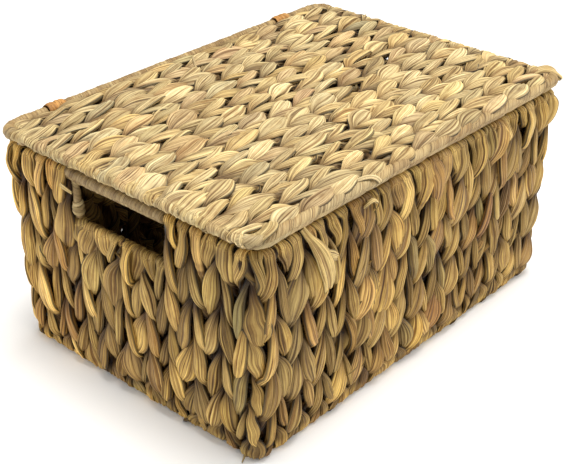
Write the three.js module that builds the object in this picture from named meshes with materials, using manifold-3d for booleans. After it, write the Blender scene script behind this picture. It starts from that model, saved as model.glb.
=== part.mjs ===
// Woven storage basket with a hinged lid. Twisted strands of dried water hyacinth
// are worked over a welded frame of steel wire. Millimetres, +Z up, +X along the
// long side, origin at the centre of the underside. The hand holes are in the two
// short sides, and the lid opens about the wire along its back (+Y) long edge.
import * as THREE from 'three';
import { mergeVertices } from 'three/addons/utils/BufferGeometryUtils.js';
import Module from 'manifold-3d';

const wasm = await Module();
wasm.setup();

// ---------------------------------------------------------------- dimensions
const GAP = 0.3; // clearance between touching pieces

// basket body, outside of the weave
const BODY_HALF_X = 192.5; // at the floor
const BODY_HALF_Y = 136; // at the floor
const BODY_FLARE_X = 6; // how much each end leans out by the rim
const BODY_FLARE_Y = 6.8; // how much each long side leans out by the rim
const BODY_H = 190; // top of the woven rim
const BODY_CORNER_R = 12;
const WALL_T = 16; // strand, wire, strand
const INNER_CORNER_R = 1.5;
const WIRE_DEPTH = 8.5; // frame wires below the outer face of the weave
const BASE_T = 12;

// steel wire frame
const WIRE_D = 3.5;
const RIM_Z = 182.3;
const HOOP_Z = [139.5, 106, 68.5, 32];
const RING_Z = 5.5;
const FRAME_CORNER_R = 5.5;
const BASE_WIRES = 7;

// weave relief: one shallow groove between neighbouring pairs of strands
const PAIRS_LONG = 15;
const PAIRS_SHORT = 10;
const PAIRS_BASE = 11;
const GROOVE_W = 4.4;
const GROOVE_D = 2.6;

// hand holes, at the same place in both ends
const HOLE_Y0 = -42;
const HOLE_Y1 = 62;
const HOLE_Z0 = 145.1;
const POST_A_Y = 56.5; // bare, wrapped post
const POST_B_Y = -46; // post inside the weave
const GRIP_D = 12.4;
const POST_WRAP_D = 10;

// lid
const LID_HALF_X = 200;
const LID_HALF_Y = 143.5;
const LID_BOTTOM = 190.6;
const LID_TOP = 203;
const LID_WIRE_Z = (LID_BOTTOM + LID_TOP) / 2;
const BINDING_D = 11.4;
const CROSS_X = [-162.5, -130, -96.5, -63.5, -30.5, -1, 29, 60.5, 93, 126, 161]; // wires across the lid
const LID_WIRE_HALF_X = LID_HALF_X - BINDING_D / 2;
const LID_WIRE_HALF_Y = LID_HALF_Y - BINDING_D / 2;
const LID_CORNER_R = 12; // of the edge wire
const LID_PAIRS = 13; // pairs of strands across the lid

// hinge ties
const TIE_X = { left: -142, right: 136.2 };
const TIE_W = 15;
const TIE_R = 5.3; // outside radius round each wire
const TIE_CLEAR = 0.4;

// ------------------------------------------------------------------ materials
const steel = { color: 0x8f8d86, roughness: 0.42, metalness: 0.9 };
const straw = { color: 0xb08b55, roughness: 0.78, metalness: 0 };
const lidStraw = { color: 0xd2b987, roughness: 0.74, metalness: 0 };
const bound = { color: 0xc9ab76, roughness: 0.7, metalness: 0 };
const tieColour = { color: 0xa2642c, roughness: 0.66, metalness: 0 };

// -------------------------------------------------------------------- helpers
function toSolid(geometry) {
  const g = geometry.clone();
  g.deleteAttribute('normal');
  g.deleteAttribute('uv');
  const m = mergeVertices(g, 1e-4);
  return new wasm.Manifold(
    new wasm.Mesh({
      numProp: 3,
      vertProperties: new Float32Array(m.attributes.position.array),
      triVerts: new Uint32Array(m.index.array),
    }),
  );
}

function toGeometry(solid) {
  const mesh = solid.getMesh();
  const g = new THREE.BufferGeometry();
  g.setAttribute('position', new THREE.BufferAttribute(new Float32Array(mesh.vertProperties), 3));
  g.setIndex(new THREE.BufferAttribute(new Uint32Array(mesh.triVerts), 1));
  return g;
}

// rounded rectangle, anticlockwise; nx and ny pairs of strands leave grooves
function rectPoints(hx, hy, r, seg, nx = 0, ny = 0) {
  const pts = [];
  const side = (from, to, n, half) => {
    // grooves on a straight side that runs from corner to corner
    if (n < 2) return;
    const dir = new THREE.Vector2().subVectors(to, from).normalize();
    const inward = new THREE.Vector2(-dir.y, dir.x);
    const mid = new THREE.Vector2().addVectors(from, to).multiplyScalar(0.5);
    for (let k = 1; k < n; k++) {
      const s = -half + (2 * half * k) / n;
      const at = mid.clone().addScaledVector(dir, s);
      pts.push(at.clone().addScaledVector(dir, -GROOVE_W / 2));
      pts.push(at.clone().addScaledVector(inward, GROOVE_D));
      pts.push(at.clone().addScaledVector(dir, GROOVE_W / 2));
    }
  };
  const corner = (cx, cy, a0) => {
    for (let i = 0; i <= seg; i++) {
      const a = a0 + (Math.PI / 2) * (i / seg);
      pts.push(new THREE.Vector2(cx + r * Math.cos(a), cy + r * Math.sin(a)));
    }
  };
  const v = (x, y) => new THREE.Vector2(x, y);
  corner(-hx + r, -hy + r, Math.PI);
  side(v(-hx + r, -hy), v(hx - r, -hy), nx, hx);
  corner(hx - r, -hy + r, -Math.PI / 2);
  side(v(hx, -hy + r), v(hx, hy - r), ny, hy);
  corner(hx - r, hy - r, 0);
  side(v(hx - r, hy), v(-hx + r, hy), nx, hx);
  corner(-hx + r, hy - r, Math.PI / 2);
  side(v(-hx, hy - r), v(-hx, -hy + r), ny, hy);
  return pts;
}

// how far the leaning walls have moved out at height z
function flare(x, y, z) {
  const k = z / BODY_H;
  const cx = THREE.MathUtils.clamp(x / (BODY_HALF_X - 30), -1, 1);
  const cy = THREE.MathUtils.clamp(y / (BODY_HALF_Y - 30), -1, 1);
  return [x + cx * BODY_FLARE_X * k, y + cy * BODY_FLARE_Y * k];
}

// upright prism on an outline, leaning with the walls if asked
function prism(points, z0, z1, leaning = false) {
  const g = new THREE.ExtrudeGeometry(new THREE.Shape(points), {
    depth: z1 - z0,
    steps: 1,
    bevelEnabled: false,
  });
  g.translate(0, 0, z0);
  if (leaning) {
    const p = g.attributes.position;
    for (let i = 0; i < p.count; i++) {
      const [x, y] = flare(p.getX(i), p.getY(i), p.getZ(i));
      p.setXY(i, x, y);
    }
  }
  return g;
}

function box(x0, x1, y0, y1, z0, z1) {
  const g = new THREE.BoxGeometry(x1 - x0, y1 - y0, z1 - z0);
  g.translate((x0 + x1) / 2, (y0 + y1) / 2, (z0 + z1) / 2);
  return g;
}

// closed loop of wire (or binding) with an eight-sided section of diameter d
function ring(hx, hy, r, z, d, seg = 3) {
  const side = d * (Math.SQRT2 - 1);
  const bevel = (d - side) / 2;
  const h = side / 2;
  const shape = new THREE.Shape(rectPoints(hx + h, hy + h, r + h, seg));
  shape.holes.push(new THREE.Path(rectPoints(hx - h, hy - h, r - h, seg).reverse()));
  const g = new THREE.ExtrudeGeometry(shape, {
    depth: side,
    steps: 1,
    bevelEnabled: true,
    bevelThickness: bevel,
    bevelSize: bevel,
    bevelSegments: 1,
  });
  g.translate(0, 0, z - h);
  return g;
}

// straight round bar between two points
function bar(a, b, d, sides = 8) {
  const va = new THREE.Vector3(...a);
  const vb = new THREE.Vector3(...b);
  const dir = new THREE.Vector3().subVectors(vb, va);
  const g = new THREE.CylinderGeometry(d / 2, d / 2, dir.length(), sides);
  g.applyQuaternion(
    new THREE.Quaternion().setFromUnitVectors(new THREE.Vector3(0, 1, 0), dir.clone().normalize()),
  );
  g.translate((va.x + vb.x) / 2, (va.y + vb.y) / 2, (va.z + vb.z) / 2);
  return g;
}

// capsule outline in the Y-Z plane round two centres
function capsule(c0, c1, r, seg) {
  const a = Math.atan2(c1[1] - c0[1], c1[0] - c0[0]);
  const pts = [];
  for (let i = 0; i <= seg; i++) {
    const t = a - Math.PI / 2 + (Math.PI * i) / seg;
    pts.push(new THREE.Vector2(c1[0] + r * Math.cos(t), c1[1] + r * Math.sin(t)));
  }
  for (let i = 0; i <= seg; i++) {
    const t = a + Math.PI / 2 + (Math.PI * i) / seg;
    pts.push(new THREE.Vector2(c0[0] + r * Math.cos(t), c0[1] + r * Math.sin(t)));
  }
  return pts;
}

// extrusion whose outline lies in the Y-Z plane and which runs from x0 to x1
function alongX(shape, x0, x1) {
  const g = new THREE.ExtrudeGeometry(shape, { depth: x1 - x0, steps: 1, bevelEnabled: false });
  g.applyMatrix4(
    new THREE.Matrix4().makeBasis(
      new THREE.Vector3(0, 1, 0),
      new THREE.Vector3(0, 0, 1),
      new THREE.Vector3(1, 0, 0),
    ),
  );
  g.translate(x0, 0, 0);
  return g;
}

const basket = new THREE.Group();
const lid = new THREE.Group();

function add(group, name, geometry, look) {
  const material = new THREE.MeshStandardMaterial({ ...look, flatShading: true });
  const mesh = new THREE.Mesh(geometry, material);
  mesh.name = name;
  group.add(mesh);
  return mesh;
}

// ------------------------------------------------------------- basket frame
// half sizes of the wire loop at height z
function loopAt(z) {
  const k = z / BODY_H;
  return [
    BODY_HALF_X + BODY_FLARE_X * k - WIRE_DEPTH,
    BODY_HALF_Y + BODY_FLARE_Y * k - WIRE_DEPTH,
  ];
}

const loops = [
  ['rim_wire', RIM_Z],
  ...HOOP_Z.map((z, i) => [`hoop_wire_${i + 1}`, z]),
  ['bottom_ring_wire', RING_Z],
];
const frameCuts = []; // passages through the weave
for (const [name, z] of loops) {
  const [hx, hy] = loopAt(z);
  add(basket, name, ring(hx, hy, FRAME_CORNER_R, z, WIRE_D), steel);
  frameCuts.push(toSolid(ring(hx, hy, FRAME_CORNER_R, z, WIRE_D + 2 * GAP)));
}

// upright wires inside the corners of the loops
const postInset = FRAME_CORNER_R - (FRAME_CORNER_R - WIRE_D - GAP) * Math.SQRT1_2;
for (const [name, sx, sy] of [
  ['corner_post_front_left', -1, -1],
  ['corner_post_front_right', 1, -1],
  ['corner_post_back_right', 1, 1],
  ['corner_post_back_left', -1, 1],
]) {
  const at = (z) => {
    const [hx, hy] = loopAt(z);
    return [sx * (hx - postInset), sy * (hy - postInset), z];
  };
  const low = at(RING_Z - WIRE_D / 2);
  const high = at(RIM_Z + WIRE_D / 2);
  add(basket, name, bar(low, high, WIRE_D), steel);
  frameCuts.push(toSolid(bar(at(RING_Z - WIRE_D / 2 - GAP), at(RIM_Z + WIRE_D / 2 + GAP), WIRE_D + 2 * GAP)));
}

// short posts that frame the hand holes, butted between hoop 1 and the rim
const postBottom = HOOP_Z[0] + WIRE_D / 2 + GAP;
const postTop = RIM_Z - WIRE_D / 2 - GAP;
for (const [end, sx] of [['left', -1], ['right', 1]]) {
  for (const [tag, y] of [['a', POST_A_Y], ['b', POST_B_Y]]) {
    const at = (z) => [sx * loopAt(z)[0], y, z];
    add(basket, `handle_post_${end}_${tag}`, bar(at(postBottom), at(postTop), WIRE_D), steel);
    frameCuts.push(toSolid(bar(at(postBottom - GAP), at(postTop + GAP), WIRE_D + 2 * GAP)));
  }
}

// wires across the base, butted against the bottom ring
const baseWireHalf = loopAt(RING_Z)[1] - WIRE_D / 2 - GAP;
const baseWirePitch = (2 * loopAt(RING_Z)[0]) / (BASE_WIRES + 1);
for (let i = 1; i <= BASE_WIRES; i++) {
  const x = -loopAt(RING_Z)[0] + baseWirePitch * i;
  add(basket, `base_wire_${i}`, bar([x, -baseWireHalf, RING_Z], [x, baseWireHalf, RING_Z], WIRE_D), steel);
  frameCuts.push(
    toSolid(bar([x, -baseWireHalf - GAP, RING_Z], [x, baseWireHalf + GAP, RING_Z], WIRE_D + 2 * GAP)),
  );
}

// ------------------------------------------------------------- basket weave
const outer = toSolid(
  prism(rectPoints(BODY_HALF_X, BODY_HALF_Y, BODY_CORNER_R, 4, PAIRS_LONG, PAIRS_SHORT), 0, BODY_H, true),
);
const innerHx = BODY_HALF_X - WALL_T;
const innerHy = BODY_HALF_Y - WALL_T;
const inner = toSolid(prism(rectPoints(innerHx, innerHy, INNER_CORNER_R, 2), -2, BODY_H + 2, true));
let shell = outer.subtract(inner);
for (const cut of frameCuts) shell = shell.subtract(cut);

// hand holes, and room for the hinge ties at the rim
for (const sx of [-1, 1]) {
  const xs = [sx * (BODY_HALF_X - WALL_T - 6), sx * (BODY_HALF_X + 10)].sort((p, q) => p - q);
  shell = shell.subtract(
    toSolid(box(xs[0], xs[1], HOLE_Y0 - GAP, HOLE_Y1 + GAP, HOLE_Z0, BODY_H + 5)),
  );
}
for (const x of Object.values(TIE_X)) {
  const h = TIE_W / 2 + TIE_CLEAR;
  shell = shell.subtract(
    toSolid(box(x - h, x + h, BODY_HALF_Y - WALL_T - 4, BODY_HALF_Y + 20, RIM_Z - TIE_R - TIE_CLEAR, BODY_H + 5)),
  );
}

// the four walls part along the corners
const cx = BODY_HALF_X - WIRE_DEPTH - FRAME_CORNER_R;
const cy = BODY_HALF_Y - WIRE_DEPTH - FRAME_CORNER_R;
const far = 40;
const g2 = GAP * Math.SQRT1_2;
function wedge(points) {
  return toSolid(prism(points.map(([x, y]) => new THREE.Vector2(x, y)), -3, BODY_H + 3, true));
}
const walls = {
  weave_front: wedge([
    [-cx + 8 + g2, -cy + 8], [-cx - far + g2, -cy - far], [cx + far - g2, -cy - far], [cx - 8 - g2, -cy + 8],
  ]),
  weave_right: wedge([
    [cx - 8, -cy + 8 + g2], [cx + far, -cy - far + g2], [cx + far, cy + far - g2], [cx - 8, cy - 8 - g2],
  ]),
  weave_back: wedge([
    [cx - 8 - g2, cy - 8], [cx + far - g2, cy + far], [-cx - far + g2, cy + far], [-cx + 8 + g2, cy - 8],
  ]),
  weave_left: wedge([
    [-cx + 8, cy - 8 - g2], [-cx - far, cy + far - g2], [-cx - far, -cy - far + g2], [-cx + 8, -cy + 8 + g2],
  ]),
};
for (const [name, region] of Object.entries(walls)) {
  add(basket, name, toGeometry(shell.intersect(region)), straw);
}

// woven base, between the walls
let base = toSolid(prism(rectPoints(innerHx - GAP, innerHy - GAP, INNER_CORNER_R, 2), 0, BASE_T, true));
for (const cut of frameCuts) base = base.subtract(cut);
const basePair = (2 * innerHy) / PAIRS_BASE;
for (let k = 1; k < PAIRS_BASE; k++) {
  const y = -innerHy + basePair * k;
  const groove = new THREE.Shape([
    new THREE.Vector2(y - GROOVE_W / 2 - 0.8, BASE_T + 1),
    new THREE.Vector2(y, BASE_T - GROOVE_D),
    new THREE.Vector2(y + GROOVE_W / 2 + 0.8, BASE_T + 1),
  ]);
  base = base.subtract(toSolid(alongX(groove, -BODY_HALF_X, BODY_HALF_X)));
}
add(basket, 'weave_base', toGeometry(base), straw);

// wrapped grip over each hand hole, and the wrapped post beside it
for (const [end, sx] of [['left', -1], ['right', 1]]) {
  const x = sx * loopAt(RIM_Z)[0];
  let grip = toSolid(bar([x, HOLE_Y0, RIM_Z], [x, HOLE_Y1, RIM_Z], GRIP_D, 12));
  let wrap = toSolid(
    bar(
      [sx * loopAt(HOLE_Z0)[0], POST_A_Y, HOLE_Z0 + GAP],
      [sx * loopAt(RIM_Z)[0], POST_A_Y, RIM_Z - GRIP_D / 2 - GAP],
      POST_WRAP_D,
      10,
    ),
  );
  for (const cut of frameCuts) {
    grip = grip.subtract(cut);
    wrap = wrap.subtract(cut);
  }
  add(basket, `handle_grip_${end}`, toGeometry(grip), bound);
  add(basket, `handle_post_wrap_${end}`, toGeometry(wrap), bound);
}

// ties that hold the back wire of the lid to the rim wire
const rimAt = [loopAt(RIM_Z)[1], RIM_Z];
const hingeAt = [LID_WIRE_HALF_Y, LID_WIRE_Z];
for (const [end, x] of Object.entries(TIE_X)) {
  const shape = new THREE.Shape(capsule(rimAt, hingeAt, TIE_R, 8));
  shape.holes.push(new THREE.Path(capsule(rimAt, hingeAt, WIRE_D / 2 + GAP + 0.15, 8).reverse()));
  add(basket, `hinge_tie_${end}`, alongX(shape, x - TIE_W / 2, x + TIE_W / 2), tieColour);
}

// --------------------------------------------------------------------- lid
const lidCuts = [
  toSolid(ring(LID_WIRE_HALF_X, LID_WIRE_HALF_Y, LID_CORNER_R, LID_WIRE_Z, WIRE_D + 2 * GAP)),
];
add(lid, 'lid_edge_wire', ring(LID_WIRE_HALF_X, LID_WIRE_HALF_Y, LID_CORNER_R, LID_WIRE_Z, WIRE_D), steel);

const crossHalf = LID_WIRE_HALF_Y - WIRE_D / 2 - GAP;
for (const [k, x] of CROSS_X.entries()) {
  add(lid, `lid_cross_wire_${k + 1}`, bar([x, -crossHalf, LID_WIRE_Z], [x, crossHalf, LID_WIRE_Z], WIRE_D), steel);
  lidCuts.push(
    toSolid(bar([x, -crossHalf - GAP, LID_WIRE_Z], [x, crossHalf + GAP, LID_WIRE_Z], WIRE_D + 2 * GAP)),
  );
}

// woven panel, its rows running along X
const weaveHx = LID_WIRE_HALF_X - BINDING_D / 2 - GAP;
const weaveHy = LID_WIRE_HALF_Y - BINDING_D / 2 - GAP;
const profile = [new THREE.Vector2(-weaveHy, LID_BOTTOM), new THREE.Vector2(weaveHy, LID_BOTTOM)];
profile.push(new THREE.Vector2(weaveHy, LID_TOP));
for (let k = LID_PAIRS - 1; k > 0; k--) {
  const y = -weaveHy + (2 * weaveHy * k) / LID_PAIRS;
  profile.push(new THREE.Vector2(y + GROOVE_W / 2, LID_TOP));
  profile.push(new THREE.Vector2(y, LID_TOP - GROOVE_D));
  profile.push(new THREE.Vector2(y - GROOVE_W / 2, LID_TOP));
}
profile.push(new THREE.Vector2(-weaveHy, LID_TOP));
let lidWeave = toSolid(alongX(new THREE.Shape(profile), -weaveHx, weaveHx)).intersect(
  toSolid(prism(rectPoints(weaveHx + 0.01, weaveHy + 0.01, 7.5, 3), LID_BOTTOM - 2, LID_TOP + 2)),
);

// edge bindings: wrapped along the long edges, looped strand ends on the short
let binding = toSolid(
  ring(LID_WIRE_HALF_X, LID_WIRE_HALF_Y, LID_CORNER_R, LID_WIRE_Z, BINDING_D, 4),
);
for (const cut of lidCuts) {
  lidWeave = lidWeave.subtract(cut);
  binding = binding.subtract(cut);
}
for (const x of Object.values(TIE_X)) {
  const h = TIE_W / 2 + TIE_CLEAR;
  const room = toSolid(
    box(x - h, x + h, LID_WIRE_HALF_Y - TIE_R - 3.2, LID_HALF_Y + 5, LID_BOTTOM - 5, LID_TOP + 5),
  );
  lidWeave = lidWeave.subtract(room);
  binding = binding.subtract(room);
}
add(lid, 'lid_weave', toGeometry(lidWeave), lidStraw);

const bx = LID_WIRE_HALF_X - LID_CORNER_R;
const by = LID_WIRE_HALF_Y - LID_CORNER_R;
function lidWedge(points) {
  return toSolid(
    prism(points.map(([x, y]) => new THREE.Vector2(x, y)), LID_BOTTOM - 10, LID_TOP + 10),
  );
}
add(
  lid,
  'lid_binding_front',
  toGeometry(
    binding.intersect(
      lidWedge([[-bx + 6 + g2, -by + 6], [-bx - far + g2, -by - far], [bx + far - g2, -by - far], [bx - 6 - g2, -by + 6]]),
    ),
  ),
  bound,
);
const back = binding.intersect(
  lidWedge([[bx - 6 - g2, by - 6], [bx + far - g2, by + far], [-bx - far + g2, by + far], [-bx + 6 + g2, by - 6]]),
);
for (const [name, x0, x1] of [
  ['lid_binding_back_left', -LID_HALF_X - 50, TIE_X.left],
  ['lid_binding_back_middle', TIE_X.left, TIE_X.right],
  ['lid_binding_back_right', TIE_X.right, LID_HALF_X + 50],
]) {
  add(lid, name, toGeometry(back.intersect(toSolid(box(x0, x1, 0, 200, 150, 250)))), bound);
}
for (const [name, s] of [['lid_end_loops_left', -1], ['lid_end_loops_right', 1]]) {
  const pts = [
    [s * (bx - 6), -s * (by - 6 - g2)],
    [s * (bx + far), -s * (by + far - g2)],
    [s * (bx + far), s * (by + far - g2)],
    [s * (bx - 6), s * (by - 6 - g2)],
  ];
  add(lid, name, toGeometry(binding.intersect(lidWedge(pts))), lidStraw);
}

const root = new THREE.Group();
root.add(basket, lid);
export default root;
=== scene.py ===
import math

import bpy
import numpy as np
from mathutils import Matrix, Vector

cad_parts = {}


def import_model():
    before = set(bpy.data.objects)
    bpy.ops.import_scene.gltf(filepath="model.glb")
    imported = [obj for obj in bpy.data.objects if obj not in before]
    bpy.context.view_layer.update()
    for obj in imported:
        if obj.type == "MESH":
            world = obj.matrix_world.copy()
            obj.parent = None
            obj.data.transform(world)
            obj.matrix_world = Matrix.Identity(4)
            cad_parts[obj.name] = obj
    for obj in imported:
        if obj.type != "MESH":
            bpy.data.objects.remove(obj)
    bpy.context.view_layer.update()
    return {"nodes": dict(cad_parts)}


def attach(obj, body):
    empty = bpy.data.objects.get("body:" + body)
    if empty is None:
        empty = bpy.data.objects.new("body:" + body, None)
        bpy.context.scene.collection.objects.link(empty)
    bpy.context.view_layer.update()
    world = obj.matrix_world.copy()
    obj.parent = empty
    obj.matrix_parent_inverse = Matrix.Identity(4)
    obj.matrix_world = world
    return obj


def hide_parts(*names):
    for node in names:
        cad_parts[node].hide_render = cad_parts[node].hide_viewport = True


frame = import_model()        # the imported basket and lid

MM = 0.001
PI = math.pi

# ------------------------------------------------------------------ dimensions
# millimetres, the frame's own
RIM_Z = 182.3
HOOP_Z = [139.5, 106.0, 68.5, 32.0]
RING_Z = 5.5
LOOP_X, LOOP_Y = 184.0, 127.5      # half sizes of the bottom ring
LEAN_X, LEAN_Y = 6.0 / 190, 6.8 / 190
CORNER_R = 5.5            # of the wire loops
WIRE_R = 1.75
LID_Z = 196.8
LID_X = 194.3             # edge wire of the lid, half sizes
LID_Y = 137.8
LID_CORNER = 12.5
CROSS_X = [-162.5, -130, -96.5, -63.5, -30.5, -1, 29, 60.5, 93, 126, 161]
HOLE_Y0, HOLE_Y1 = -42.0, 62.0
POST_A_Y = 56.5
TIE_X = (-142.0, 136.2)
COLS_LONG = 30            # columns of twisted strand on a long side
COLS_SHORT = 20
ROWS_LID = 26
LAG = math.radians(3)     # the outer part of a strand is centred this far past its wire
BIAS = 0.62               # the outer part is longer than the inner part
SKEW = 0.34               # it rises slowly and dives in fast


# ------------------------------------------------------------------- small maths
def smoothed(a, sigma, closed):
    """Gaussian smoothing along axis 0, sigma in samples."""
    r = int(math.ceil(3 * sigma))
    k = np.exp(-0.5 * (np.arange(-r, r + 1) / sigma) ** 2)
    k /= k.sum()
    if closed:
        p = np.concatenate([a[-r:], a, a[:r]])
    else:
        p = np.concatenate([2 * a[:1] - a[r:0:-1], a, 2 * a[-1:] - a[-2:-r - 2:-1]])
    return np.stack([np.convolve(p[:, c], k, "valid") for c in range(a.shape[1])], 1)


def unit(v):
    return v / np.maximum(np.linalg.norm(v, axis=-1, keepdims=True), 1e-9)


def smoothstep(x):
    x = np.clip(x, 0, 1)
    return x * x * (3 - 2 * x)


def leafval(x, values, sharp=2.2):
    """One value for each leaf, turning into the next leaf's about half-way."""
    i = np.floor(x).astype(int)
    f = smoothstep((x - i - 0.5) * sharp + 0.5)
    lo = values[np.clip(i + 3, 0, len(values) - 1)]
    hi = values[np.clip(i + 4, 0, len(values) - 1)]
    return lo * (1 - f) + hi * f


def wander(rng, s, amp, waves=(23.0, 41.0, 97.0)):
    """A slow random waver along s."""
    out = np.zeros_like(s)
    for w in waves:
        out += rng.normal() * np.sin(2 * PI * s / (w * rng.uniform(0.8, 1.25)) + rng.uniform(0, 2 * PI))
    return amp * out / math.sqrt(len(waves))


# ----------------------------------------------------------------- where wires run
def wall_frame(side, f, lat, dep, z):
    """Point on a leaning wall: f is the place along the side from -1 to 1, lat a shift
    to the right seen from outside, dep how far outside the wire loop."""
    hx = LOOP_X + LEAN_X * z
    hy = LOOP_Y + LEAN_Y * z
    h, other = (hx, hy) if side in (0, 2) else (hy, hx)
    s = f * ((h - CORNER_R) + CORNER_R * PI / 4) + lat
    straight = h - CORNER_R
    over = np.maximum(np.abs(s) - straight, 0) / CORNER_R
    a = np.sign(s) * np.minimum(over, PI / 2)
    past = np.maximum(over - PI / 2, 0) * CORNER_R
    u = np.where(a == 0, s, np.sign(s) * straight + (CORNER_R + dep) * np.sin(a))
    v = np.where(a == 0, other + dep, other - CORNER_R + (CORNER_R + dep) * np.cos(a)) - past
    z = z * np.ones_like(u)
    nu, nv = np.sin(a), np.cos(a)
    tu, tv = np.cos(a), -np.sin(a)
    turn = {0: (1, 0, 0, -1), 1: (0, 1, 1, 0), 2: (-1, 0, 0, 1), 3: (0, -1, -1, 0)}[side]

    def world(p, q, zz):
        return np.stack([turn[0] * p + turn[1] * q, turn[2] * p + turn[3] * q, zz], -1)

    return world(u, v, z), world(nu, nv, np.zeros_like(u)), world(tu, tv, np.zeros_like(u))


# ------------------------------------------------------------------------- strands
# how the face of a strand turns as it goes round (degrees against degrees)
TURN_AT = np.radians([-90, -70, -45, -15, 0, 30, 60, 80, 95, 115, 140, 180, 220, 245, 270])
TURN_TO = np.radians([-70, -36, -14, -3, 0, 5, 12, 24, 50, 104, 150, 180, 212, 250, 290])


# its width over one cycle: a slim start, widest past the wire, closing to a tip
WIDE_AT = np.radians([-120, -97, -72, -47, -22, 3, 25, 45, 65, 85, 103, 120, 140, 160, 180, 200, 220, 240])
WIDE_TO = np.array([0.24, 0.28, 0.42, 0.63, 0.84, 0.97, 1.0, 0.94, 0.79, 0.58, 0.38, 0.27, 0.56, 0.78, 0.86, 0.78, 0.56, 0.24])


def rise(al, skew):
    """How far out a strand is at each point of its cycle."""
    ca, sa = np.cos(al), np.sin(al)
    return np.sign(ca) * np.abs(ca) ** (1.05 - 0.25 * sa * np.sign(ca)) * (1 + skew * sa)


def twisted_pair(rng, stations, sigma, w0, t0, t_first, t_last, amp=4.6, closed=True,
                 loop_w=1.0, wide=0.2, proud=0.55, tilt=0.25, push=None, over=0.0, bulge=1.0, lag=LAG,
                 lap=0.0, inside=1.0, back_w=1.1, fill=1.0, stagger=0.2, broad_tip=0.28):
    """Two strands twisted round each other, passing either side of a row of wires.
    Gives one closed path (or two open ones) as arrays over about 1 mm steps:
    lat, dep, s, half width, half thickness, face normal (3), leaf number, which strand."""
    s_k = np.asarray(stations, float)
    K = len(s_k) - 1
    n = max(int(round(s_k[-1] - s_k[0])), 8)
    s = np.linspace(s_k[0], s_k[-1], n + 1)
    base = PI * np.interp(s, s_k, np.arange(K + 1))
    base = smoothed(base[:, None], 5, False)[:, 0]
    base[0], base[-1] = 0, PI * K
    t_env = t0 * np.ones_like(s)
    t_env = t_first + (t_env - t_first) * smoothstep((s - s_k[0]) / 14)
    t_env = t_last + (t_env - t_last) * smoothstep((s_k[-1] - s) / 14)
    near = np.minimum(smoothstep((s - s_k[0]) / 12), smoothstep((s_k[-1] - s) / 12))
    waver = wander(rng, s, 0.5)
    if push is not None:
        waver = waver + push(s)
    at_wire = -lag - BIAS * math.sin(-lag)
    reach = float(rise(np.array([at_wire]), SKEW)[0])
    strands = []
    for which in (0, 1):
        psi = base + PI * which - lag
        size = K + 9
        r = {k: np.clip(rng.normal(size=size), -1.8, 1.8) for k in "awoptbs"}
        r["p"] = 0.7 * r["p"] + 0.4 * r["w"]
        psi = psi + stagger * np.interp(psi / PI, np.arange(size) - 3.0, r["s"]) * near
        al = psi - BIAS * np.sin(psi)
        x = al / PI
        lean = np.clip(rng.normal(size=size), -1.6, 1.6) * tilt
        blunt = rng.uniform(-0.25, 0.9, size).clip(0)
        strand_w = math.exp(rng.normal() * 0.14)
        ca, sa = np.cos(al), np.sin(al)
        outer = ca > 0
        c = rise(al, SKEW)
        cycle = np.floor((al + PI / 2) / (2 * PI))
        ww = w0 * strand_w * (1 + wide * leafval(x, r["w"]))
        ww = ww * np.interp((psi + PI * 2 / 3) % (2 * PI) - PI * 2 / 3, WIDE_AT, WIDE_TO) ** fill
        ww = ww * (1 + (back_w - 1) * np.clip(-ca, 0, 1))
        ww = ww * (1 + broad_tip * leafval(x, blunt) * np.exp(-((al + PI) % (2 * PI) - PI - 1.15) ** 2 / 0.14))
        tt = t_env * (1 + 0.10 * leafval(x, r["t"])) * (1 + 0.16 * (1 - np.abs(ca)))
        lat = sigma * amp * (1 + 0.22 * leafval(x, r["a"])) * sa + 1.0 * leafval(x, r["o"]) * near + waver
        lat = lat + sigma * 0.7 * leafval(x, r["b"]) * np.cos(2 * al) * near
        dep = (WIRE_R + t_env) / reach * c * np.where(c < 0, inside, 1.0)
        dep = dep * np.where(outer, 1 + (bulge - 1) * near, 1.0)
        dep = dep + np.sign(c) * proud * near * leafval(x, r["p"]) * np.abs(c)
        # one hand of twist lies over the other where their leaves meet
        top_one = over * sigma > 0
        dep = dep + near * np.where(outer, np.abs(ca) ** 0.4 * (
            np.clip(sa + 0.15, 0, 1) * (0.45 if top_one else -1.15) + np.clip(-sa, 0, 1) * (0.3 if top_one else -0.2)) * abs(over), 0)
        face = np.interp(al - cycle * 2 * PI, TURN_AT, TURN_TO) + cycle * 2 * PI
        turn = face + leafval(x, lean) - 0.4 * leafval(x, blunt) * np.where(outer, np.clip(sa, 0, 1) ** 2, 0)
        turn = turn - sigma * lap * np.clip(ca, 0, 1)      # the same way up in every column, like shingles
        strands.append(np.stack([lat, dep, s, ww, tt, sigma * np.sin(turn), np.cos(turn), 0 * s,
                                 x, which + 0 * s], 1))
    A, B = strands
    if not closed:
        return strands
    parts = [A]
    for end, first, last, t_end in ((1, A[-1], B[-1], t_last), (-1, B[0], A[0], t_first)):
        rho = (WIRE_R + t_end) * 1.06
        steps = max(int(PI * rho), 6)
        b = np.linspace(0, PI, steps + 2)[1:-1]
        mix = (b / PI)[:, None]
        seg = first[None, :] * (1 - mix) + last[None, :] * mix
        side = 1.0 if first[1] > 0 else -1.0
        seg[:, 1] = side * rho * np.cos(b)
        seg[:, 2] = (s_k[-1] if end > 0 else s_k[0]) + end * rho * np.sin(b)
        seg[:, 3] = w0 * loop_w
        seg[:, 4] = t_end
        seg[:, 5] = 0
        seg[:, 6] = side * np.cos(b)
        seg[:, 7] = end * np.sin(b)
        near_first = b < PI / 2
        seg[:, 8] = np.where(near_first, first[8], last[8])
        seg[:, 9] = np.where(near_first, first[9], last[9])
        parts.append(seg)
        if end > 0:
            parts.append(B[::-1])
    return [np.concatenate(parts)]


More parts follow.
